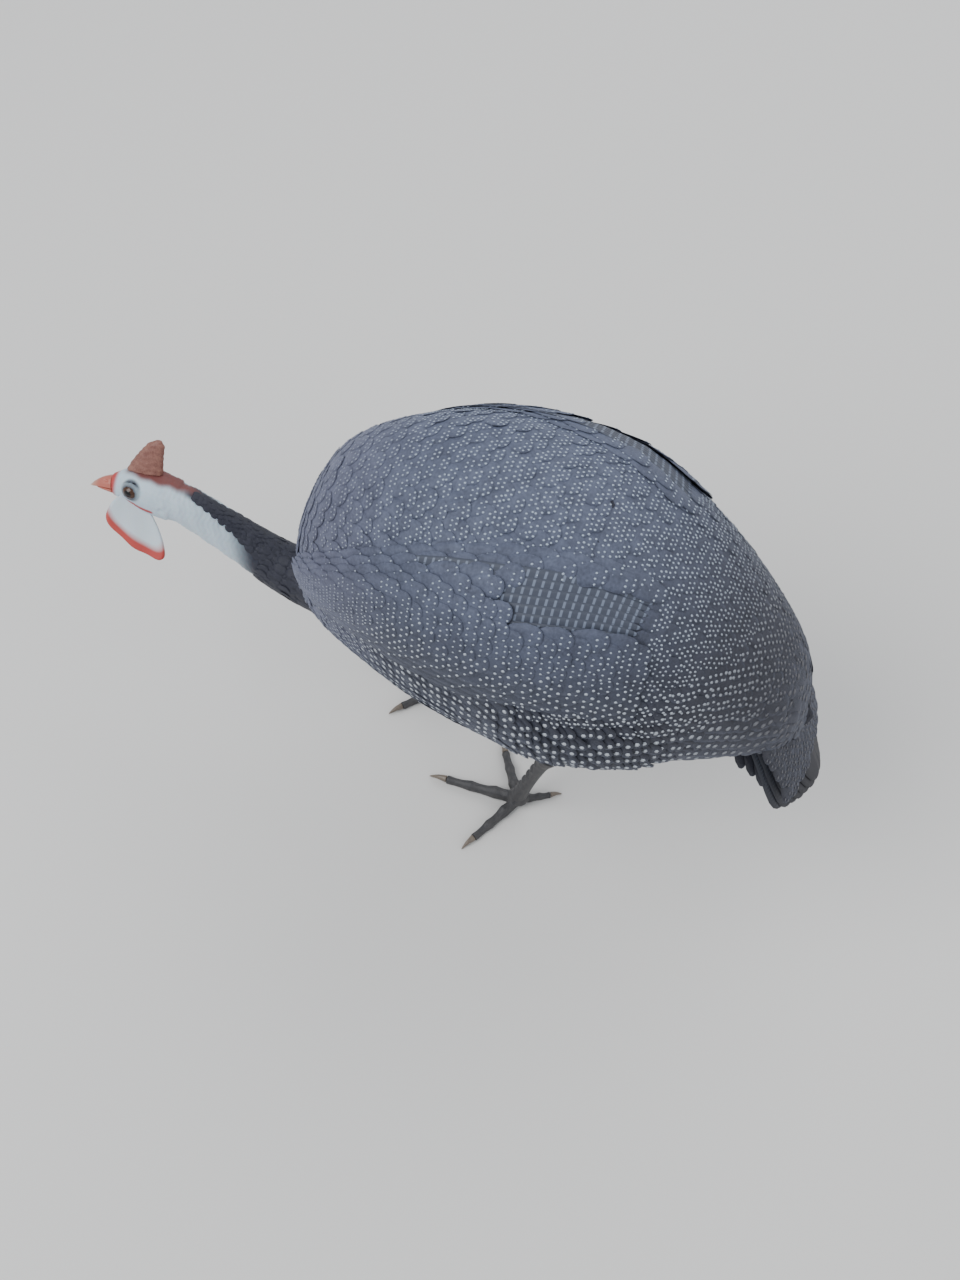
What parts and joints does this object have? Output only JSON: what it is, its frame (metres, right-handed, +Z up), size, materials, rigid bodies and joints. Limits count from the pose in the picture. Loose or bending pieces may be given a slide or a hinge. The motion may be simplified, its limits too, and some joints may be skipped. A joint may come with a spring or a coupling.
{
  "type": "guinea fowl",
  "caption": "Life-size helmeted guinea fowl in mid stride, head and neck stretched low and forward, standing on its own feet as a still museum model.",
  "frame": {"origin": "on the floor under the middle of the bounding box", "axes": "+Z up, the bird faces -Y and its left side is +X"},
  "size_m": [0.183, 0.486, 0.3484],
  "materials": {
    "plumage": "matte",
    "neck_skin": "matte",
    "face_skin": "satin",
    "wattle_skin": "satin",
    "casque_horn": "satin",
    "bill_horn": "satin",
    "eye": "gloss",
    "leg_scale": "satin",
    "claw_horn": "satin"
  },
  "bodies": {
    "root": {"torso": "plumage", "wing_left": "plumage", "wing_right": "plumage", "tail": "plumage", "leg_left": "plumage", "leg_right": "plumage", "neck": "neck_skin", "head": "face_skin", "casque": "casque_horn", "bill_upper": "bill_horn", "bill_lower": "bill_horn", "eye_left": "eye", "eye_right": "eye", "wattle_left": "wattle_skin", "wattle_right": "wattle_skin", "foot_left": "leg_scale", "foot_right": "leg_scale", "claw_left_inner": "claw_horn", "claw_left_middle": "claw_horn", "claw_left_outer": "claw_horn", "claw_left_hind": "claw_horn", "claw_right_inner": "claw_horn", "claw_right_middle": "claw_horn", "claw_right_outer": "claw_horn", "claw_right_hind": "claw_horn"}
  },
  "joints": []
}
